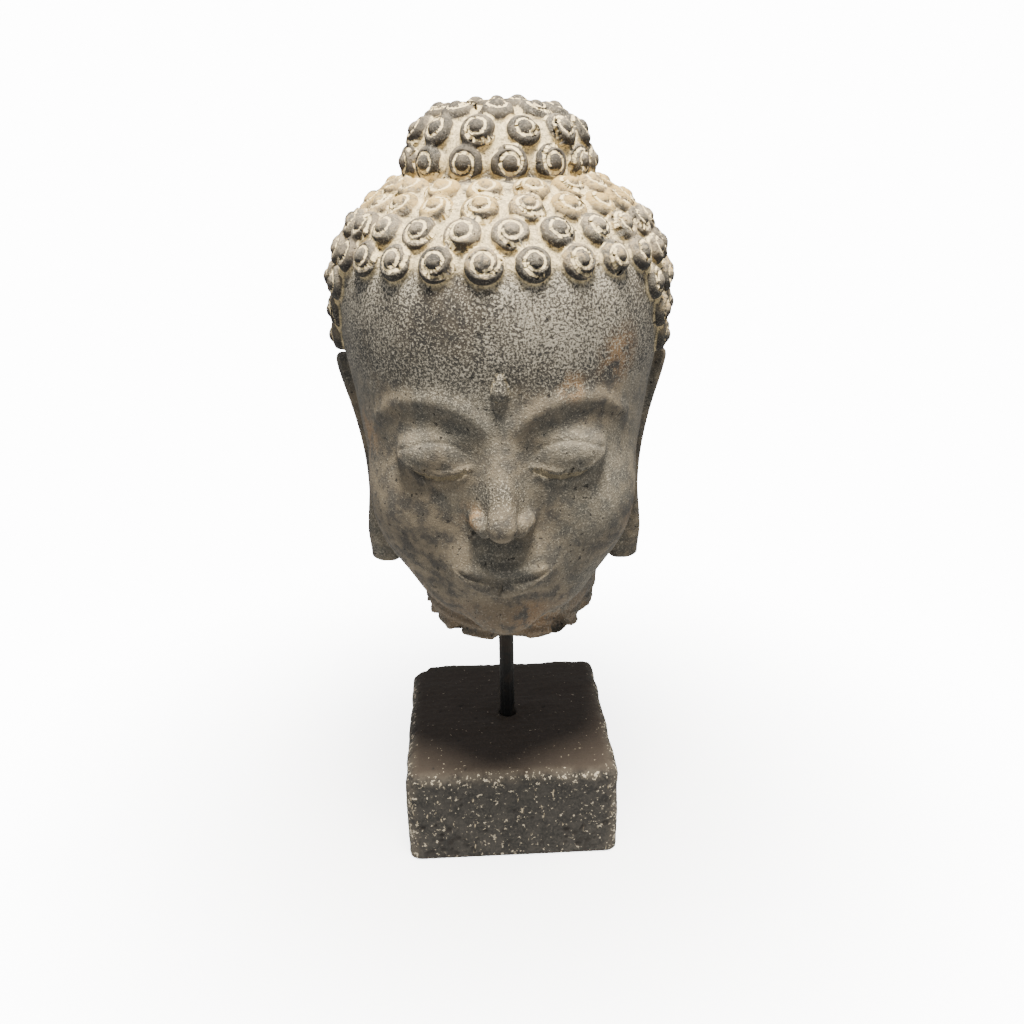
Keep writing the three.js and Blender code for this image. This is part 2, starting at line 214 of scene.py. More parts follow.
def plain_face(half):
    """The face before its eyes and mouth are cut, for x not less than nothing."""
    gap = join(FACE.out(half), CRANIUM.out(half), 0.8)
    for form, soft in ((JAW, 1.2), (CHEEK, 0.9), (MUZZLE, 0.7), (CHIN, 0.6)):
        gap = carve_in(gap, form, half, soft)
    gap = carve_in(gap, HOOD, half, 0.7, cut=True)
    gap = carve_in(gap, SOCKET, half, 0.6, cut=True)
    return carve_in(gap, EYE, half, 0.4)


def curve(points, per_span):
    """A smooth open line through the points, each with its last number a radius."""
    p = np.array(points, float)
    p = np.concatenate([[2 * p[0] - p[1]], p, [2 * p[-1] - p[-2]]])
    line = []
    for before, a, b, after in zip(p, p[1:], p[2:], p[3:]):
        line += [between(before, a, b, after, t) for t in np.arange(per_span) / per_span]
    return np.array(line + [p[-2]])


def on_face(points, sink, per_span=3):
    """A stroke along [right, up, radius] points, laid on the face and sunk by so many of its radii."""
    line = curve(points, per_span)
    well_in_front = np.full(len(line), -8.0)
    spots = np.stack([line[:, 0], well_in_front, line[:, 1]], 1)
    for _ in range(80):
        spots[:, 1] += 0.7 * plain_face(np.abs(spots) * (1, -1, 1))
    spots[:, 1] += sink * line[:, 2]
    return Stroke(spots, line[:, 2])


BROW = on_face([(0.5, 7.85, 0.2), (1.1, 8.32, 0.24), (2.1, 8.62, 0.24),
                (3.2, 8.4, 0.2), (4.0, 7.75, 0.12)], 0.85)
LID = on_face([(0.98, 6.5, 0.06), (1.5, 6.34, 0.1), (2.1, 6.28, 0.12),
               (2.7, 6.38, 0.1), (3.3, 6.68, 0.06)], 0.1)
LID_CREASE = on_face([(1.05, 6.95, 0.02), (1.5, 7.22, 0.04), (2.1, 7.32, 0.04),
                      (2.75, 7.2, 0.04), (3.35, 6.9, 0.02)], -0.2)
EYE_SLIT = on_face([(1.02, 6.42, 0.03), (1.5, 6.18, 0.07), (2.1, 6.1, 0.08),
                    (2.7, 6.2, 0.07), (3.2, 6.52, 0.03)], -0.2)
LOWER_LID = on_face([(1.15, 6.25, 0.05), (1.6, 5.98, 0.08), (2.15, 5.9, 0.09),
                     (2.7, 6.02, 0.08), (3.1, 6.3, 0.04)], 0.3)
UPPER_LIP = on_face([(0, 2.97, 0.2), (0.4, 3.0, 0.21), (0.95, 2.9, 0.17), (1.6, 2.84, 0.06)], 0.25)
LOWER_LIP = on_face([(0, 2.28, 0.3), (0.6, 2.36, 0.27), (1.15, 2.56, 0.16), (1.5, 2.74, 0.06)], 0.25)
MOUTH_LINE = on_face([(0, 2.66, 0.06), (0.4, 2.68, 0.07), (1.0, 2.68, 0.07), (1.75, 2.9, 0.05)], -1.9)
URNA_RING = on_face([(0, 8.95, 0.42), (0, 9.15, 0.36), (0, 9.6, 0.2)], -0.7)
URNA = on_face([(0, 8.95, 0.26), (0, 9.15, 0.2), (0, 9.5, 0.07)], -0.1)


# Curls

def hairline(x, y):
    """Level of the lowest hair: over the forehead, above the ears and at the nape."""
    turn = np.degrees(np.arctan2(np.abs(x), CRANIUM.at[1] - y))
    return 12 - 3.2 * smooth(48, 74, turn) - 4.4 * smooth(98, 122, turn)


def curls_on(form, first_row, shifts):
    """Centres and outward directions of rows of curls, one row's pitch apart down the front."""
    tilt = np.arange(0.002, math.pi, 0.002)
    ways = np.stack([np.zeros_like(tilt), -np.sin(tilt), np.cos(tilt)], 1)
    spots = ways / form.share(ways + form.at)[:, None]
    run = run_along(spots) - first_row
    centres, outs, count = [], [], 0
    for row in range(int(run[-1] / ROW_PITCH) + 1):
        spot = spots[np.searchsorted(run, row * ROW_PITCH)]
        share = abs(spot[1]) / form.deep
        turn = np.linspace(-math.pi / 2, 1.5 * math.pi, 801)
        ring = np.stack([form.wide * share * np.cos(turn), form.deep * share * np.sin(turn)], 1)
        length = run_along(ring)
        if row < len(shifts):
            count, shift = max(round(length[-1] / CURL_PITCH), 1), shifts[row]
        else:
            shift = shifts[-1] + (row - len(shifts) + 1) % 2 / 2
        at = np.mod(np.arange(count) + shift, count) / count * length[-1]
        x, y = np.interp(at, length, ring[:, 0]), np.interp(at, length, ring[:, 1])
        half = form.up if spot[2] > 0 else form.down
        square = float(form.power(spot[2]))
        slope = np.sign(spot[2]) * abs(spot[2] / half) ** (square - 1) / half
        flat = share ** (square - 2)
        out = np.stack([x / form.wide ** 2 * flat, y / form.deep ** 2 * flat, np.full(count, slope)], 1)
        centres.append(np.stack([x, y, np.full(count, spot[2])], 1) + form.at)
        outs.append(out / sizes(out)[:, None])
    return np.concatenate(centres), np.concatenate(outs)


def all_curls():
    """Every curl of the skull and the topknot: its place, its directions and what chance gives it."""
    at, out = curls_on(CRANIUM, 4.28 * ROW_PITCH, [-0.25, -0.36, 0.28, -0.27])
    under = (at[:, 2] > CRANIUM.at[2]) & (
        np.hypot(at[:, 0], at[:, 1] - TOPKNOT.at[1]) < TOPKNOT.wide + 0.35)
    keep = ~under & (at[:, 2] > hairline(at[:, 0], at[:, 1]) + 0.45)
    top_at, top_out = curls_on(TOPKNOT, 0, [0, 0.5, 0, -0.4, 0.28])
    top_keep = top_at[:, 2] > TOPKNOT.at[2] + 0.35
    at = np.concatenate([at[keep], top_at[top_keep]])
    out = np.concatenate([out[keep], top_out[top_keep]])
    side = np.cross((0.0, 0.0, 1.0), out)
    side[sizes(side) < 0.01] = (1, 0, 0)
    side /= sizes(side)[:, None]
    count, level = len(at), at[:, 2]
    radius = CURL_WIDTH / 2 * chance.uniform(0.96, 1.05, count)
    rise = CURL_RISE * chance.uniform(0.8, 0.93, count)
    turn = chance.uniform(0, 1, count)
    hand = np.where(chance.uniform(size=count) < 0.8, 1.0, -1.0)
    on_top = smooth(13.6, 14.3, level) * (level < 15.2)
    tint = on_top * 0.5 + chance.uniform(0.12, 0.5, count) + 0.12 * smooth(1, 4, at[:, 0])
    tint = np.clip(tint, 0, 1) * np.where(level > 15.2, 0.35, 1)
    return {"at": at, "out": out, "side": side, "up": np.cross(out, side),
            "radius": radius, "rise": rise, "turn": turn, "hand": hand, "tint": tint}


CURLS = all_curls()


def nearest_curls(p, count=3):
    """The indices of the curls nearest each point, worked out a slice at a time."""
    found = np.empty((len(p), count), int)
    slice_size = 20000
    for start in range(0, len(p), slice_size):
        part = p[start:start + slice_size].astype(np.float32)
        apart = ((part[:, None, :] - CURLS["at"].astype(np.float32)) ** 2).sum(2)
        near = np.argpartition(apart, count, axis=1)[:, :count]
        order = np.argsort(np.take_along_axis(apart, near, 1), axis=1)
        found[start:start + slice_size] = np.take_along_axis(near, order, 1)
    return found


def curl_terms(p, which):
    """Offset, height over the foot, share of the radius and turn round it, for one curl a point."""
    offset = p - CURLS["at"][which]
    rise = (offset * CURLS["out"][which]).sum(1)
    side = (offset * CURLS["side"][which]).sum(1)
    up = (offset * CURLS["up"][which]).sum(1)
    across = np.hypot(side, up) / CURLS["radius"][which]
    turn = CURLS["hand"][which] * np.arctan2(up, side) / (2 * math.pi) + CURLS["turn"][which]
    return offset, rise, across, np.mod(turn, 1)


def curl_groove(across, turn):
    """How deep inside the spiral groove a point of the curl lies, from 0 to 1."""
    ring = RING_START + RING_GROWTH * turn
    tail = TAIL_START + TAIL_GROWTH * turn
    first = np.exp(-((across - ring) / GROOVE_WIDTH) ** 2) * smooth(0, 0.12, turn)
    second = np.exp(-((across - tail) / GROOVE_WIDTH) ** 2) * (1 - smooth(0.35, 0.55, turn))
    return np.maximum(first, second)


def out_of_curl(p, which):
    """Distance out of one squat dome a point, with its spiral groove and the knob in its middle."""
    offset, rise, across, turn = curl_terms(p, which)
    along = np.abs(rise) / CURLS["rise"][which]
    share = (across ** CURL_SQUARE + along ** CURL_SQUARE) ** (1 / CURL_SQUARE)
    groove = 0.15 * curl_groove(across, turn)
    knob = 0.05 * (1 - smooth(0.1, 0.42, across))
    return past_skin(sizes(offset), share) + groove - knob


# Ears. The outline is [back, up] as seen from the side.
EAR_OUTLINE = [(0.1, 1.05), (0.5, 0.55), (1.0, 0.85), (1.2, 1.8), (1.25, 3.3), (1.7, 4.7), (2.45, 6.2),
               (2.6, 7.6), (2.0, 8.6), (1.0, 8.75), (0.2, 8.1), (-0.1, 6.8), (-0.15, 5.2), (-0.1, 3.2)]


def rounded_outline(points, per_side=4):
    """A closed smooth line through the points."""
    p = np.array(points, float)
    four_in_turn = [np.roll(p, shift, 0) for shift in (1, 0, -1, -2)]
    line = [between(*four_in_turn, t) for t in np.arange(per_side) / per_side]
    return np.stack(line, 1).reshape(-1, 2)


EAR_LINE = rounded_outline(EAR_OUTLINE)


def out_of_outline(line, p):
    """Distance out of a closed flat line, less than nothing inside it."""
    nearest = np.full(len(p), np.inf)
    inside = np.zeros(len(p), bool)
    for a, b in zip(line, np.roll(line, -1, 0)):
        nearest = np.minimum(nearest, beside(p, a, b)[0])
        along = b - a
        crosses = (a[1] > p[:, 1]) != (b[1] > p[:, 1])
        inside ^= crosses & (p[:, 0] < a[0] + (p[:, 1] - a[1]) / (along[1] + 1e-12) * along[0])
    return np.where(inside, -nearest, nearest)


def ear_reach(back, up):
    """How far out to the side the ear's outer face lies."""
    flare = 0.046 * np.maximum(up - 4, 0) ** 2 + 0.16 * (1 - smooth(1.8, 4, up))
    return 5.1 + flare + 0.06 * (back - 1)


def ridge(value, middle, width):
    """A smooth ridge, 1 high where the value is at its middle."""
    return np.exp(-((value - middle) / width) ** 2)


def ear_relief(edge, back, up):
    """How far the ear's face stands out: a rolled rim, an inner fold, a hollow and the lobe's slit."""
    shell = smooth(3.6, 4.8, up)
    relief = 0.1 * ridge(edge, -0.2, 0.17) - shell * 0.2 * ridge(edge, -0.52, 0.16)
    relief += shell * 0.02 * ridge(edge, -0.8, 0.15) - shell * 0.5 * smooth(0.9, 1.25, -edge)
    return relief - 0.3 * (1 - shell) * smooth(1.2, 1.8, up) * ridge(back, 0.58, 0.13)


def out_of_ear(half):
    """Distance out of the ear, a plate in its outline with rounded edges and relief on its face."""
    back, up = half[:, 1], half[:, 2]
    edge = out_of_outline(EAR_LINE, half[:, 1:])
    proud = half[:, 0] - ear_reach(back, up)
    thick = 0.8 + 0.4 * (1 - smooth(1.8, 3.2, up)) + 0.9 * smooth(2.8, 6, up)
    round_off = 0.17 + 0.3 * (1 - smooth(1.0, 2.4, up))
    rim = edge + round_off
    face = np.maximum(proud - ear_relief(edge, back, up), -(proud + thick)) + round_off
    corner = np.hypot(np.maximum(rim, 0), np.maximum(face, 0))
    return corner + np.minimum(np.maximum(rim, face), 0) - round_off


# What is added to the plain face and cut out of it, in this order: the form, how soft it meets the
# rest, and whether it is a cut
FACE_DETAIL = ((BROW, 0.35, False), (NOSE_ROOT, 0.3, False), (NOSE, 0.45, False),
               (NOSE_WING, 0.22, False), (NOSTRIL, 0.08, True), (LID_CREASE, 0.12, True),
               (LID, 0.12, False), (LOWER_LID, 0.12, False), (EYE_SLIT, 0.06, True),
               (UPPER_LIP, 0.14, False), (LOWER_LIP, 0.16, False), (MOUTH_LINE, 0.06, True),
               (URNA_RING, 0.04, True), (URNA, 0.04, False))


def out_of_face(half):
    gap = plain_face(half)
    for form, soft, cut_out in FACE_DETAIL:
        gap = carve_in(gap, form, half, soft, cut_out)
    return gap


def break_level(x, y):
    """Level of the broken underside of the neck."""
    ragged = 0.13 * np.sin(x * 2.3 + y * 1.1) + 0.1 * np.sin(x * 4.7 - y * 3.9 + 1)
    fine = 0.05 * np.sin(x * 11 + 3 * np.sin(y * 5)) * np.sin(y * 9 + 2)
    return -NECK_BELOW_CHIN + 0.5 * smooth(-3, 3, y) + (ragged + fine) * smooth(-3.2, -1.5, y)


# Chips out of the neck's broken edge, [x, y, z, radius], all round a ring just inside its skin
CHIP_COUNT = 16
CHIP_RING_WIDE, CHIP_RING_DEEP = 3.45, 4.35
CHIP_TURNS = np.arange(CHIP_COUNT) * 0.4 + chance.uniform(0, 0.28, CHIP_COUNT)
CHIPS = np.stack([NECK.at[0] + CHIP_RING_WIDE * np.sin(CHIP_TURNS),
                  NECK.at[1] - CHIP_RING_DEEP * np.cos(CHIP_TURNS),
                  chance.uniform(-1.3, -0.7, CHIP_COUNT),
                  chance.uniform(0.22, 0.5, CHIP_COUNT)], 1)


def neck_layers(x, y, z):
    """How far the stone is worn back between its layers, on the neck below the chin."""
    layers = np.sin(z * 15 + 1.5 * np.sin(x * 1.6 + y * 1.2)) + np.sin(x * 4 + y * 3)
    return 0.035 * (2 + layers) * smooth(0, -0.4, z)


def out_of_head(p, curls=None):
    """Distance out of the carving. The curls are left off where none are named."""
    half = p * (1, 1, 1)
    half[:, 0] = np.abs(half[:, 0])
    gap = out_of_face(half)
    gap = carve_in(gap, NECK, p, 0.55)
    gap += neck_layers(*p.T)
    gap = carve_in(gap, TOPKNOT, p, 0.12)
    if curls is not None:
        hair = np.nonzero((p[:, 2] > 6.5) & (p[:, 2] > hairline(p[:, 0], p[:, 1]) - 0.5))[0]
        for which in curls[hair].T:
            gap[hair] = join(gap[hair], out_of_curl(p[hair], which), 0.07)
    ears = np.nonzero((half[:, 0] > 3.6) & (half[:, 2] < 9.6) & (half[:, 1] < 3.6))[0]
    gap[ears] = join(gap[ears], out_of_ear(half[ears]), 0.2)
    gap = hollow(gap, p[:, 2] - break_level(p[:, 0], p[:, 1]), 0.08)
    broken = np.nonzero(p[:, 2] < 0)[0]
    for x, y, z, radius in CHIPS:
        chip = sizes(p[broken] - (x, y, z)) - radius
        gap[broken] = hollow(gap[broken], chip, 0.08)
    hole = np.maximum(np.hypot(p[:, 0], p[:, 1]) - ROD_HOLE, p[:, 2] - ROD_TOP)
    return hollow(gap, hole, 0.02)


# Meshes

def active():
    return bpy.context.view_layer.objects.active


def apply_modifier(obj, kind, **settings):
    """Adds a modifier of the kind with these settings, and applies it."""
    bpy.context.view_layer.objects.active = obj
    modifier = obj.modifiers.new(kind.title(), kind)
    for name, value in settings.items():
        setattr(modifier, name, value)
    bpy.ops.object.modifier_apply(modifier=modifier.name)


def places(obj):
    found = np.empty(len(obj.data.vertices) * 3)
    obj.data.vertices.foreach_get("co", found)
    return found.reshape(-1, 3)


def move_to(obj, place):
    obj.data.vertices.foreach_set("co", place.ravel())
    obj.data.update()


def in_fingers(place):
    return (place - (0, 0, CHIN_LEVEL)) / FINGER


def in_metres(p):
    return p * FINGER + (0, 0, CHIN_LEVEL)


def add_egg(form, side=1):
    """A sphere stretched to an egg, as the start of the head."""
    bpy.ops.mesh.primitive_uv_sphere_add(segments=64, ring_count=40, radius=1)
    ball = active()
    p = places(ball)
    ring = np.hypot(p[:, 0], p[:, 1])
    power = 2 / form.square
    widen = np.where(ring > 1e-6, np.maximum(ring, 1e-6) ** (power - 1), 0)
    tall = np.where(p[:, 2] > 0, form.up, form.down) * np.sign(p[:, 2]) * np.abs(p[:, 2]) ** power
    p = np.stack([p[:, 0] * widen * form.wide, p[:, 1] * widen * form.deep, tall], 1) + form.at
    p[:, 2] = np.maximum(p[:, 2], break_level(p[:, 0], p[:, 1]))
    move_to(ball, in_metres(p * (side, 1, 1)))
    return ball


def add_rod(a, b, radius):
    """A round bar between two points, as the start of the nose."""
    a, b = Vector(in_metres(np.array(a))), Vector(in_metres(np.array(b)))
    bpy.ops.mesh.primitive_cylinder_add(vertices=24, radius=radius * FINGER, depth=(b - a).length)
    bar = active()
    slant = (b - a).to_track_quat("Z", "Y").to_matrix().to_4x4()
    bar.matrix_world = Matrix.Translation((a + b) / 2) @ slant
    bpy.ops.object.transform_apply()
    return bar


def add_ear(side):
    """A thick plate in the ear's outline."""
    bm = bmesh.new()
    back, up = EAR_LINE.T
    for proud in (-1.0, 0.1):
        ring = np.stack([side * (ear_reach(back, up) + proud), back, up], 1)
        bm.faces.new([bm.verts.new(place) for place in in_metres(ring)])
    bm.verts.ensure_lookup_table()
    count = len(EAR_LINE)
    for i in range(count):
        j = (i + 1) % count
        bm.faces.new([bm.verts[n] for n in (i, j, count + j, count + i)])
    bmesh.ops.recalc_face_normals(bm, faces=bm.faces)
    mesh = bpy.data.meshes.new("ear")
    bm.to_mesh(mesh)
    bm.free()
    ear = bpy.data.objects.new("ear", mesh)
    bpy.context.collection.objects.link(ear)
    return ear


PROBE_WAYS = np.array([(1, -1, -1), (-1, -1, 1), (-1, 1, -1), (1, 1, 1)], float)


def slope_at(p, curls):
    """The way out of the carving at each point, from its distance at four places close by."""
    probe = 0.02
    felt = sum(way * out_of_head(p + way * probe, curls)[:, None] for way in PROBE_WAYS)
    return felt / (4 * probe)


def carve(obj, steps, curls_too=True):
    """Moves every vertex to the carved surface, down the slope of its distance."""
    p = in_fingers(places(obj))
    curls = nearest_curls(p) if curls_too else None
    for reach in steps:
        slope = slope_at(p, curls)
        steep = np.maximum(sizes(slope), 0.4)
        move = np.clip(out_of_head(p, curls) / steep, -reach, reach)
        p = p - (move / steep)[:, None] * slope
    move_to(obj, in_metres(p))


def raise_curls(obj):
    """Lifts the scalp under each curl to its dome, so that the carving starts close to it."""
    p = in_fingers(places(obj))
    which = nearest_curls(p, 1)[:, 0]
    _, rise, across, _ = curl_terms(p, which)
    share = np.maximum(1 - np.minimum(across, 1) ** CURL_SQUARE, 0) ** (1 / CURL_SQUARE)
    dome = CURLS["rise"][which] * share
    lift = np.where((np.abs(rise) < 0.4) & (across < 1), dome - rise, 0)
    move_to(obj, in_metres(p + lift[:, None] * CURLS["out"][which]))


def add_attribute(obj, name, red, green, blue):
    """Stores three numbers at every vertex, as one colour under the name."""
    colour = np.stack([red, green, blue, np.ones(len(red))], 1).astype(np.float32)
    obj.data.attributes.new(name, "FLOAT_COLOR", "POINT").data.foreach_set("color", colour.ravel())


def patches(p, spots):
    """How far inside soft round patches, [x, y, z, radius], each point lies."""
    share = np.zeros(len(p))
    for x, y, z, radius in spots:
        share = np.maximum(share, 1 - smooth(0.2, 1, sizes(p - (x, y, z)) / radius))
    return share


# Patches of colour on the stone, [x, y, z, radius]
SPECKLED = [(0, -6.3, 5.4, 1.5)]
OCHRE = [(0.9, -5.2, 0.9, 1.0), (3.9, -3.4, 4.2, 0.9), (2.3, -5.4, 9.0, 0.7), (-1.0, -5.8, 4.8, 0.7),
         (3.6, -4.0, 9.8, 1.3), (-4.2, -2.6, 6.8, 1.2), (1.3, -3.0, -0.3, 1.2)]


def mark_head(head):
    """Stores where the wash, the wear and the colours of the stone lie, and how far each point faces up,
    which sets the painted highlights and shade on the hair.
    """
    p = in_fingers(places(head))
    curls = nearest_curls(p)
    slope = slope_at(p, curls)
    normal = slope / np.maximum(sizes(slope), 1e-6)[:, None]
    shut = [1 - np.clip(out_of_head(p + normal * reach, curls) / reach, -0.5, 1)
            for reach in (0.12, 0.3, 0.6)]
    offset, rise, across, turn = curl_terms(p, curls[:, 0])
    beyond = sizes(offset) / CURLS["radius"][curls[:, 0]]
    third = sizes(p - CURLS["at"][curls[:, 2]]) * 2 / CURL_WIDTH
    hair = np.maximum(smooth(1.16, 1.0, beyond), smooth(2.2, 1.8, third))
    shelter = np.where(hair > 0.5, sum(shut) / 3, shut[0])
    on_curl = ((across < 1.02) & (rise > -0.3) & (beyond < 1.2)).astype(float)
    crown = on_curl * np.clip(rise / CURL_RISE, 0, 1)
    forehead = (1 - hair) * smooth(8.2, 9.6, p[:, 2]) * smooth(0.5, -1.5, p[:, 1])
    speckle = forehead + (1 - forehead) * (0.35 + 0.45 * patches(p, SPECKLED))
    neck = smooth(0.5, -0.1, p[:, 2] + 0.25 * p[:, 1])
    cosine, sine = np.cos(2 * math.pi * turn), np.sin(2 * math.pi * turn)
    add_attribute(head, "carving", np.clip(shelter, 0, 1), on_curl, crown)
    add_attribute(head, "curl", np.clip(across / 2, 0, 1), 0.5 + 0.5 * cosine, 0.5 + 0.5 * sine)
    add_attribute(head, "weather_and_facing", speckle, 0.5 + 0.5 * normal[:, 2], patches(p, OCHRE))
    add_attribute(head, "region", hair, neck, CURLS["tint"][curls[:, 0]])


def drill_head(head):
    """Cuts the rod's hole up from under the neck."""
    overrun = 0.02
    bpy.ops.mesh.primitive_cylinder_add(vertices=48, radius=ROD_HOLE * FINGER,
                                        depth=ROD_HIGH.z - NECK_BREAK + overrun)
    drill = active()
    drill.location.z = ROD_HIGH.z - drill.dimensions.z / 2
    bpy.context.view_layer.update()
    apply_modifier(head, "BOOLEAN", object=drill, operation="DIFFERENCE", solver="MANIFOLD")
    bpy.data.objects.remove(drill)


def make_head():
    """Joins plain forms, melts them into one skin, and carves that in two passes, rough and fine."""
    middle = (CRANIUM, TOPKNOT, FACE, JAW, CHIN, MUZZLE, NECK, NOSE_ROOT, NOSE_TIP)
    forms = [add_egg(form) for form in middle]
    forms += [add_egg(form, side) for form in (CHEEK, EYE, NOSE_SIDE) for side in (-1, 1)]
    forms += [add_rod((0, -5.4, 7.6), (0, -6.5, 4.85), 0.5), add_ear(-1), add_ear(1)]
    for form in forms:
        form.select_set(True)
    bpy.context.view_layer.objects.active = forms[0]
    bpy.ops.object.join()
    head = active()
    head.name = "carved_head"
    apply_modifier(head, "REMESH", mode="VOXEL", voxel_size=START_GRAIN)
    carve(head, [0.3, 0.2, 0.15, 0.1], curls_too=False)
    raise_curls(head)
    drill_head(head)
    apply_modifier(head, "REMESH", mode="VOXEL", voxel_size=GRAIN)
    carve(head, [0.2, 0.12, 0.08, 0.05, 0.03])
    triangles = 2 * len(head.data.polygons)
    apply_modifier(head, "DECIMATE", ratio=min(1.0, HEAD_TRIANGLES / triangles))
    mark_head(head)
    return head


# The block, worn and pitted, in metres

BLOCK_SIZE = Vector((0.110, 0.114, BLOCK_TOP))
BLOCK_ROUND = 0.0065
BLOCK_FOOT = 0.0002
BLOCK_TURN = math.radians(2.6)
CORNER_CHIP = 0.011
WORN_BAND = 0.004
HOLE_RIM = 0.0075
WAVE_DEPTH = 0.0004
RIPPLE_DEPTH = 0.0002
PIT_DEPTH = 0.0013
DRILL_LENGTH = 0.1


def cut(obj, tool):
    bpy.context.view_layer.update()
    apply_modifier(obj, "BOOLEAN", object=tool, operation="DIFFERENCE", solver="EXACT")
    bpy.data.objects.remove(tool)


def shape_block():
    """The bare block: rounded edges, a flat foot, a broken back left corner and the rod's hole."""
    bpy.ops.mesh.primitive_cube_add(size=1)
    block = active()
    block.name = "worn_block"
    block.scale = BLOCK_SIZE + Vector((0, 0, BLOCK_ROUND))
    block.location.z = (BLOCK_SIZE.z - BLOCK_ROUND) / 2
    bpy.ops.object.transform_apply()
    apply_modifier(block, "BEVEL", width=BLOCK_ROUND, segments=5, limit_method="NONE")
    bpy.ops.object.mode_set(mode="EDIT")
    bpy.ops.mesh.select_all(action="SELECT")
    bpy.ops.mesh.bisect(plane_co=(0, 0, BLOCK_FOOT), plane_no=(0, 0, 1), use_fill=True, clear_inner=True)
    bpy.ops.object.mode_set(mode="OBJECT")
    corner = (-BLOCK_SIZE.x / 2, BLOCK_SIZE.y / 2, BLOCK_SIZE.z)
    bpy.ops.mesh.primitive_ico_sphere_add(subdivisions=2, radius=CORNER_CHIP, location=corner)
    cut(block, active())
    hole_middle = (0, 0, ROD_LOW.z - ROD_GAP + DRILL_LENGTH / 2)
    bpy.ops.mesh.primitive_cylinder_add(vertices=48, radius=ROD_HOLE * FINGER, depth=DRILL_LENGTH,
                                        location=hole_middle)
    cut(block, active())
    apply_modifier(block, "REMESH", mode="VOXEL", voxel_size=BLOCK_GRAIN)
    return block


def pit_depths(p):
    """How deep in a pit each point lies, 1 in the middle of the deepest."""
    depth = np.zeros(len(p))
    for x, y, z, radius in block_pits():
        near = sizes(p - (x, y, z)) / radius
        depth = np.maximum(depth, np.clip(1.15 - near, 0, 1) * min(radius / 0.002, 1))
    return depth


def make_block():
    """The block, waved, rippled and pitted, turned on the spot, with its wear stored for the paint."""
    block = shape_block()
    p = places(block)
    half = np.array(BLOCK_SIZE) / 2
    near_sides = np.abs(p[:, 0]) > half[0] - WORN_BAND
    near_front_or_back = np.abs(p[:, 1]) > half[1] - WORN_BAND
    near_top = p[:, 2] > BLOCK_SIZE.z - WORN_BAND
    worn = near_sides | near_front_or_back | near_top
    inward = np.array([(0, 0, BLOCK_SIZE.z * 0.4)]) - p
    inward /= sizes(inward)[:, None]
    sink = WAVE_DEPTH + WAVE_DEPTH * np.sin(p @ (140, 90, 170) + 2 * np.sin(p @ (70, -110, 60)))
    sink += RIPPLE_DEPTH * np.sin(p @ (610, -480, 560) + 3 * np.sin(p @ (300, 420, -370)))
    pits = pit_depths(p)
    sink = sink + PIT_DEPTH * pits
    keep_flat = smooth(0.0005, 0.004, p[:, 2]) * (np.hypot(p[:, 0], p[:, 1]) > HOLE_RIM)
    p = p + inward * (sink * keep_flat * worn)[:, None]
    to_faces = np.stack([half[0] - np.abs(p[:, 0]), half[1] - np.abs(p[:, 1]), BLOCK_SIZE.z - p[:, 2]], 1)
    edge = 1 - smooth(0.002, 0.008, np.sort(to_faces, axis=1)[:, 1])
    top = smooth(0.003, 0.0005, to_faces[:, 2])
    cosine, sine = math.cos(BLOCK_TURN), math.sin(BLOCK_TURN)
    turned_x = p[:, 0] * cosine - p[:, 1] * sine
    turned_y = p[:, 0] * sine + p[:, 1] * cosine
    move_to(block, np.stack([turned_x, turned_y, p[:, 2]], 1))
    add_attribute(block, "wear", pits, edge, top)
    return block


def block_pits():
    """Seeded pits on the block's faces, [x, y, z, radius], crowded at the front's lower corners."""
    half_x, half_y, top = BLOCK_SIZE.x / 2, BLOCK_SIZE.y / 2, BLOCK_SIZE.z
    pits = []
    for middle, count in ((-0.036, 34), (0.036, 30)):
        for _ in range(count):
            pits.append((middle + random.gauss(0, 0.009), -half_y, abs(random.gauss(0.008, 0.008)),
                         random.uniform(0.0009, 0.002)))
    for _ in range(40):
        pits.append((random.uniform(-half_x, half_x), -half_y, random.uniform(0, top),
                     random.uniform(0.0007, 0.0014)))
        pits.append((random.uniform(-half_x, half_x), half_y, random.uniform(0, top),
                     random.uniform(0.0008, 0.0018)))
        side = random.choice((-half_x, half_x))
        pits.append((side, random.uniform(-half_y, half_y), random.uniform(0, top),
                     random.uniform(0.0008, 0.0018)))
        pits.append((random.uniform(-half_x, half_x), random.uniform(-half_y, half_y), top,
                     random.uniform(0.0006, 0.0013)))
    return pits


def make_rod():
    bpy.ops.mesh.primitive_cylinder_add(vertices=48, radius=ROD_RADIUS, depth=ROD_HIGH.z - ROD_LOW.z)
    rod = active()
    rod.name = "iron_rod"
    rod.location.z = (ROD_HIGH.z + ROD_LOW.z) / 2
    bpy.ops.object.transform_apply()
    bpy.ops.object.mode_set(mode="EDIT")
    bpy.ops.mesh.select_all(action="SELECT")
    bpy.ops.mesh.bevel(offset=0.0004, segments=2, affect="EDGES", clamp_overlap=True)
    bpy.ops.object.mode_set(mode="OBJECT")
    return rod


# Paint

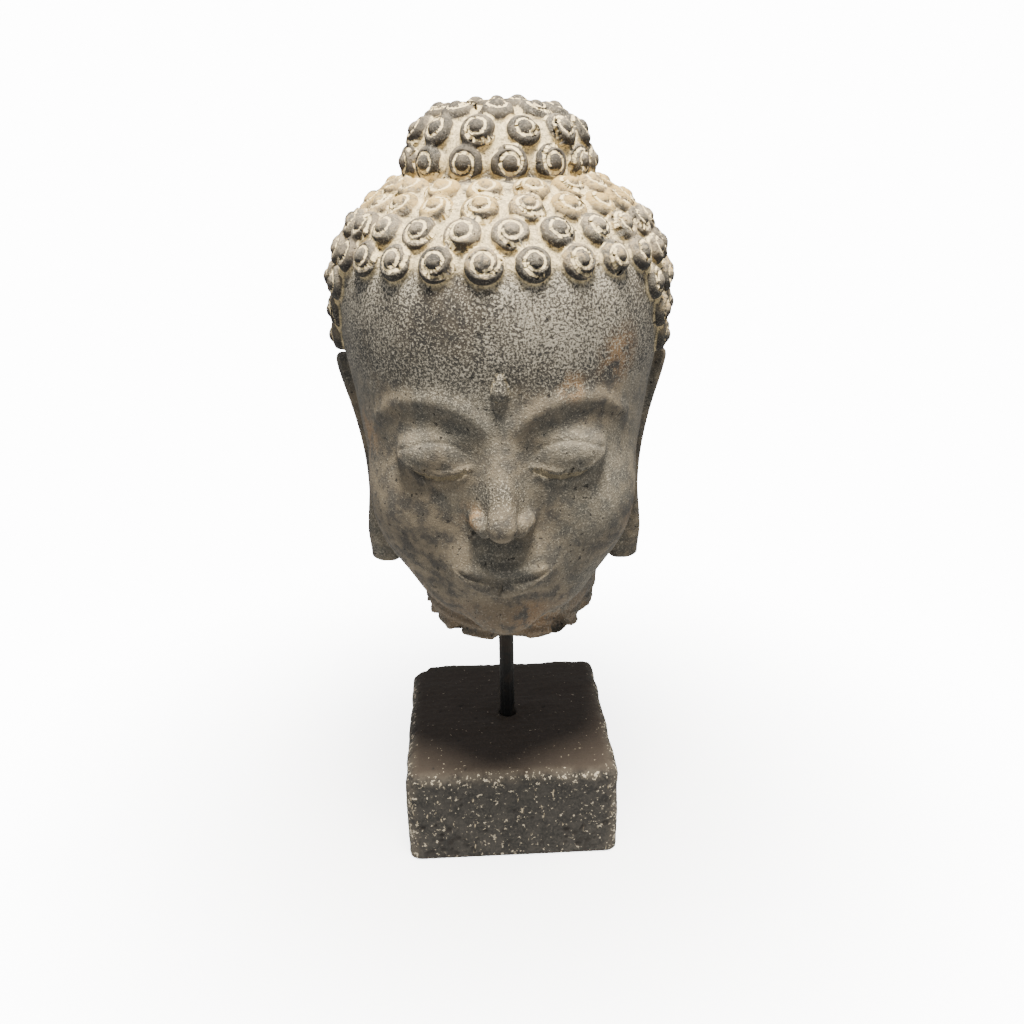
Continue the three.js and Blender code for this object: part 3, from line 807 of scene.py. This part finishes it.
class Value:
    """A shader socket, or a number, that takes part in sums."""

    def __init__(self, paint, socket):
        self.paint, self.socket = paint, socket

    def maths(self, operation, *others, flip=False):
        terms = [*others, self] if flip else [self, *others]
        node = self.paint.add("ShaderNodeMath", {"operation": operation}, *terms)
        return Value(self.paint, node.outputs[0])

    def __add__(self, other):
        return self.maths("ADD", other)

    def __radd__(self, other):
        return self.maths("ADD", other)

    def __sub__(self, other):
        return self.maths("SUBTRACT", other)

    def __rsub__(self, other):
        return self.maths("SUBTRACT", other, flip=True)

    def __mul__(self, other):
        return self.maths("MULTIPLY", other)

    def __rmul__(self, other):
        return self.maths("MULTIPLY", other)

    def __truediv__(self, other):
        return self.maths("DIVIDE", other)

    def highest(self, other):
        return self.maths("MAXIMUM", other)

    def lowest(self, other):
        return self.maths("MINIMUM", other)

    def step(self, low, high):
        """A smooth rise from 0 at the low value to 1 at the high one."""
        settings = {"interpolation_type": "SMOOTHSTEP"}
        node = self.paint.add("ShaderNodeMapRange", settings, self, low, high, 0.0, 1.0)
        return Value(self.paint, node.outputs[0])


class Paint:
    """A material built up from nodes on the object's own coordinates."""

    def __init__(self, name, roughness):
        self.material = bpy.data.materials.new(name)
        self.material.use_nodes = True
        self.tree = self.material.node_tree
        self.shader = self.tree.nodes["Principled BSDF"]
        self.shader.inputs["Roughness"].default_value = roughness
        self.place = self.add("ShaderNodeTexCoord").outputs["Object"]

    def add(self, kind, settings=None, *inputs):
        """A node of the kind, with its settings, then with values or links for its sockets in turn."""
        node = self.tree.nodes.new(kind)
        for name, value in (settings or {}).items():
            setattr(node, name, value)
        for socket, value in zip(node.inputs, inputs):
            self.fill(socket, value)
        return node

    def fill(self, socket, value):
        if isinstance(value, Value):
            value = value.socket
        if isinstance(value, bpy.types.NodeSocket):
            self.tree.links.new(value, socket)
        elif value is not None:
            socket.default_value = value

    def set(self, name, value):
        self.fill(self.shader.inputs[name], value)

    def noise(self, scale, detail=2.0, rough=0.5, stretch=None, shift=0.0):
        """Noise on the object's own coordinates. A shift keeps two of one scale from matching."""
        place = self.place
        if stretch or shift:
            moved = (shift, shift, shift)
            place = self.add("ShaderNodeMapping", {}, place, moved, None, stretch or (1, 1, 1)).outputs[0]
        node = self.add("ShaderNodeTexNoise")
        self.fill(node.inputs["Vector"], place)
        node.inputs["Scale"].default_value = scale
        node.inputs["Detail"].default_value = detail
        node.inputs["Roughness"].default_value = rough
        return Value(self, node.outputs[0])

    def stored(self, name):
        """The three numbers kept at each point under one name."""
        colour = self.add("ShaderNodeAttribute", {"attribute_name": name}).outputs["Color"]
        split = self.add("ShaderNodeSeparateColor", {}, colour)
        return [Value(self, socket) for socket in split.outputs]

    def mix(self, share, first, second):
        """The first colour, with so much of the second over it."""
        node = self.add("ShaderNodeMix", {"data_type": "RGBA"})
        self.fill(node.inputs[0], share)
        for socket, colour in ((node.inputs[6], first), (node.inputs[7], second)):
            self.fill(socket, (*colour, 1) if isinstance(colour, tuple) else colour)
        return node.outputs[2]

    def bump(self, height, depth):
        node = self.add("ShaderNodeBump")
        node.inputs["Distance"].default_value = depth
        self.fill(node.inputs["Height"], height)
        self.set("Normal", node.outputs[0])


# Colours of the carved stone, of what lies on it, and of the painted highlights and shade on its curls
STONE_DARK = (0.052, 0.046, 0.038)
STONE_LIGHT = (0.17, 0.138, 0.094)
STONE_GREY = (0.1, 0.097, 0.082)
STONE_SOOTY = (0.014, 0.013, 0.012)
STONE_OCHRE = (0.27, 0.15, 0.06)
NECK_BROWN = (0.13, 0.09, 0.055)
CURL_DARK = (0.022, 0.019, 0.017)
# Painted highlight on the upward faces of the curls
CURL_PAINTED_HIGHLIGHT = (0.42, 0.35, 0.25)
# The golden tint of the upper rows' curls, painted only on their upward faces as a highlight
CURL_GOLDEN_HIGHLIGHT = (0.49, 0.32, 0.08)
# Painted shade on the downward faces of the hair
CURL_PAINTED_SHADE = (0.014, 0.011, 0.009)
PALE_FLECKS = (0.55, 0.5, 0.4)
CREAM_WASH = (0.86, 0.7, 0.4)
PINHOLE_DARK = (0.008, 0.007, 0.006)


def groove_share(across, cosine, sine, roughen):
    """The curl's spiral groove, worked out from the share of its radius and the turn round it."""
    turn = ((sine - 0.5).maths("ARCTAN2", cosine - 0.5) / (2 * math.pi)).maths("FRACT")
    ring = 1 - (across * 2 - RING_START - turn * RING_GROWTH).maths("ABSOLUTE") * 8
    tail = 1 - (across * 2 - TAIL_START - turn * TAIL_GROWTH).maths("ABSOLUTE") * 8
    return (ring.highest(tail.lowest(1.4 - turn * 3)) + roughen).step(0.1, 0.75)


def head_stone():
    """Dark stone with pale flecks, painted highlights on the curls' upward faces, painted shade on the
    hair's downward faces, and a cream wash in all that is sunk.
    """
    paint = Paint("head_stone", 0.78)
    shelter, on_curl, crown = paint.stored("carving")
    across, cosine, sine = paint.stored("curl")
    speckle, skyward, ochre = paint.stored("weather_and_facing")
    hair, neck, tint = paint.stored("region")
    broad, middling = paint.noise(24, 3), paint.noise(130, 4, 0.6)
    grain, dust = paint.noise(1000, 3, 0.7), paint.noise(2200, 2, 0.6, shift=3)
    chisel = paint.noise(420, 4, 0.75, shift=6)
    groove = groove_share(across, cosine, sine, (chisel - 0.5) * 1.1) * on_curl
    stone = paint.mix(middling.step(0.35, 0.65), STONE_DARK, STONE_LIGHT)
    stone = paint.mix(broad.step(0.42, 0.6) * 0.5, stone, STONE_GREY)
    stone = paint.mix(speckle.step(0.5, 1) * (1 - hair) * 0.7, stone, STONE_SOOTY)
    stone = paint.mix(ochre * middling.step(0.38, 0.6) * 0.7, stone, STONE_OCHRE)
    stone = paint.mix(neck * middling.step(0.35, 0.6) * 0.6, stone, NECK_BROWN)
    dome = hair * crown.step(0.02, 0.16)
    stone = paint.mix(dome * (1 - tint.step(0.1, 0.35)) * 0.75, stone, CURL_DARK)
    # Painted highlight: the upward faces of the curls are painted lighter, as if lit from above, more so
    # on the paler curls
    lit = dome * skyward.step(0.42, 0.85)
    painted_highlight = lit * (0.1 + 1.2 * tint) * (middling * 0.4 + chisel * 0.6).step(0.4, 0.6)
    stone = paint.mix(painted_highlight, stone, CURL_PAINTED_HIGHLIGHT)
    # Partly the curls' own golden tint, set by their tint and noise, and partly painted highlight, as it
    # lies only on their upward faces
    uneven = broad * 0.5 + (middling - 0.5) * 0.8 + (chisel - 0.5) * 1.6
    stone = paint.mix(lit * (tint + uneven).step(0.62, 1.2) * 0.8, stone, CURL_GOLDEN_HIGHLIGHT)
    # Painted shade: the downward faces of the hair, under the curls and in the valleys, are painted near
    # black where shade falls
    under = hair * (1 - skyward.step(0.3, 0.66))
    stone = paint.mix(under * 0.85, stone, CURL_PAINTED_SHADE)
    cover = (grain + (dust - 0.5) * 0.5 + (broad - 0.5) * 0.35 + (speckle - 0.5) * 0.1).step(0.54, 0.68)
    stone = paint.mix(cover * (0.15 + speckle * 0.58) * (1 - hair * 0.3), stone, PALE_FLECKS)
    crease = shelter.step(0.3, 0.75) * 0.9 + groove + (grain - 0.5) * 0.4 + (middling - 0.5) * 0.5
    wash = (crease * (1 - under * 0.5)).step(0.3, 0.75) * (0.2 + hair * 0.75)
    valley = (hair - dome) * (0.6 + (grain + chisel - 1) * 2)
    stone = paint.mix(wash.highest(valley), stone, CREAM_WASH)
    pinholes = 1 - paint.noise(420, 2, 0.5, shift=9).step(0.27, 0.33)
    stone = paint.mix(pinholes * 0.8, stone, PINHOLE_DARK)
    paint.set("Base Color", stone)
    paint.set("Roughness", 0.66 + grain * 0.25)
    paint.bump(grain * 0.9 + dust * 0.4 + (chisel * 1.3 + middling) * hair - pinholes, 0.0008)
    return paint.material


# Colours of the block's stone and of what lies on it
BLOCK_DARK = (0.006, 0.0058, 0.0056)
BLOCK_LIGHT = (0.022, 0.02, 0.018)
BLOCK_GREY = (0.045, 0.041, 0.036)
BLOCK_TOP_BROWN = (0.036, 0.025, 0.017)
BLOCK_EDGE_WORN = (0.085, 0.072, 0.055)
BLOCK_FLECKS = (0.5, 0.44, 0.34)
BLOCK_STRAW = (0.5, 0.42, 0.29)
BLOCK_PIT = (0.01, 0.008, 0.007)


def block_stone():
    """Near-black stone with pale flecks and upright straw-like marks, worn lighter at its edges."""
    paint = Paint("block_stone", 0.85)
    pits, edge, top = paint.stored("wear")
    broad, middling = paint.noise(30, 3), paint.noise(150, 4, 0.6)
    grain, dust = paint.noise(700, 3, 0.6), paint.noise(380, 3, 0.7, shift=5)
    straw = paint.noise(420, 2, 0.5, stretch=(1, 1, 0.3), shift=2)
    stone = paint.mix(middling.step(0.35, 0.65), BLOCK_DARK, BLOCK_LIGHT)
    stone = paint.mix(grain.step(0.42, 0.62) * 0.5, stone, BLOCK_GREY)
    stone = paint.mix(top * 0.8, stone, BLOCK_TOP_BROWN)
    stone = paint.mix(edge * middling.step(0.3, 0.6) * 0.6, stone, BLOCK_EDGE_WORN)
    flecks = (dust + (grain - 0.5) * 0.5 + edge * 0.07 - top * 0.07).step(0.625, 0.69)
    stone = paint.mix(flecks * 0.75, stone, BLOCK_FLECKS)
    stone = paint.mix(straw.step(0.68, 0.73) * (1 - top) * 0.6, stone, BLOCK_STRAW)
    stone = paint.mix(pits.step(0.05, 0.4) * 0.95, stone, BLOCK_PIT)
    paint.set("Base Color", stone)
    paint.set("Roughness", 0.78 + grain * 0.15)
    paint.bump(grain * 0.5 + dust * 0.5 + broad, 0.0006)
    return paint.material


def rod_iron():
    """Black iron with brown rust in patches."""
    black, rusty = (0.007, 0.007, 0.007), (0.03, 0.02, 0.013)
    paint = Paint("rod_iron", 0.55)
    rust, scale = paint.noise(160, 3), paint.noise(900, 2, shift=4)
    paint.set("Base Color", paint.mix(rust.step(0.45, 0.65) * 0.6, black, rusty))
    paint.set("Metallic", 0.3)
    paint.set("Roughness", 0.45 + rust * 0.3)
    paint.bump(scale + rust * 0.5, 0.0002)
    return paint.material


def finish_piece(piece, node, material):
    """Smooths and paints a piece, and puts it in the place of its node of the frame."""
    for polygon in piece.data.polygons:
        polygon.use_smooth = True
    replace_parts(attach(piece, "root"), node)
    piece.data.materials.clear()
    piece.data.materials.append(material)
    print(node, sum(len(polygon.vertices) - 2 for polygon in piece.data.polygons), "triangles")


finish_piece(make_head(), "head", head_stone())
finish_piece(make_block(), "block", block_stone())
finish_piece(make_rod(), "rod", rod_iron())

# Floor, light and camera

def floor_paint():
    """A pale paint that thins out to the white behind it, away from the middle."""
    paint = Paint("pale_floor", 0.9)
    paint.set("Base Color", (0.86, 0.86, 0.85, 1))
    length = paint.add("ShaderNodeVectorMath", {"operation": "LENGTH"}, paint.place).outputs["Value"]
    thin = 0.3 + 0.7 * Value(paint, length).step(0.04, 0.36)
    clear = paint.add("ShaderNodeBsdfTransparent").outputs[0]
    fade = paint.add("ShaderNodeMixShader", {}, thin, paint.shader.outputs[0], clear)
    paint.fill(paint.tree.nodes["Material Output"].inputs["Surface"], fade.outputs[0])
    return paint.material


def lay_floor():
    bpy.ops.mesh.primitive_plane_add(size=3)
    floor = active()
    floor.name = "floor"
    floor.data.materials.append(floor_paint())


def light_room(on_stone, to_camera):
    """A white room, which the camera sees brighter than it lights the stone."""
    world = bpy.data.worlds.new("studio")
    bpy.context.scene.world = world
    world.use_nodes = True
    nodes, links = world.node_tree.nodes, world.node_tree.links
    room = nodes["Background"]
    room.inputs["Color"].default_value = (1, 1, 1, 1)
    seen = nodes.new("ShaderNodeLightPath")
    bright = nodes.new("ShaderNodeMapRange")
    bright.inputs["To Min"].default_value = on_stone
    bright.inputs["To Max"].default_value = to_camera
    links.new(seen.outputs["Is Camera Ray"], bright.inputs["Value"])
    links.new(bright.outputs["Result"], room.inputs["Strength"])


def add_lamp(name, place, target, size, power, colour):
    lamp = bpy.data.objects.new(name, bpy.data.lights.new(name, "AREA"))
    lamp.data.shape = "DISK"
    lamp.data.size = size
    lamp.data.energy = power
    lamp.data.color = colour
    lamp.location = place
    lamp.rotation_euler = (Vector(target) - Vector(place)).to_track_quat("-Z", "Y").to_euler()
    bpy.context.collection.objects.link(lamp)


def place_camera(place, down, roll, lens):
    """A camera in front of the face, looking along +Y, tipped down and rolled by degrees."""
    camera = bpy.data.objects.new("camera", bpy.data.cameras.new("camera"))
    bpy.context.collection.objects.link(camera)
    bpy.context.scene.camera = camera
    camera.data.sensor_width = 36
    camera.data.lens = lens
    down, roll = math.radians(down), math.radians(roll)
    ahead = Vector((0, math.cos(down), -math.sin(down)))
    right = Vector((1, 0, 0))
    up = right.cross(ahead)
    across = right * math.cos(roll) + up * math.sin(roll)
    upright = up * math.cos(roll) - right * math.sin(roll)
    turn = Matrix((across, upright, -ahead)).transposed().to_4x4()
    camera.matrix_world = Matrix.Translation(place) @ turn


lay_floor()
light_room(on_stone=0.62, to_camera=14)
add_lamp("overhead_lamp", place=(0.04, -0.24, 1.1), target=(0, 0, 0.25), size=0.3, power=43,
         colour=(1.0, 0.93, 0.8))
place_camera(place=(0.0042, -0.4545, 0.3538), down=21.74, roll=-0.863, lens=33.4)
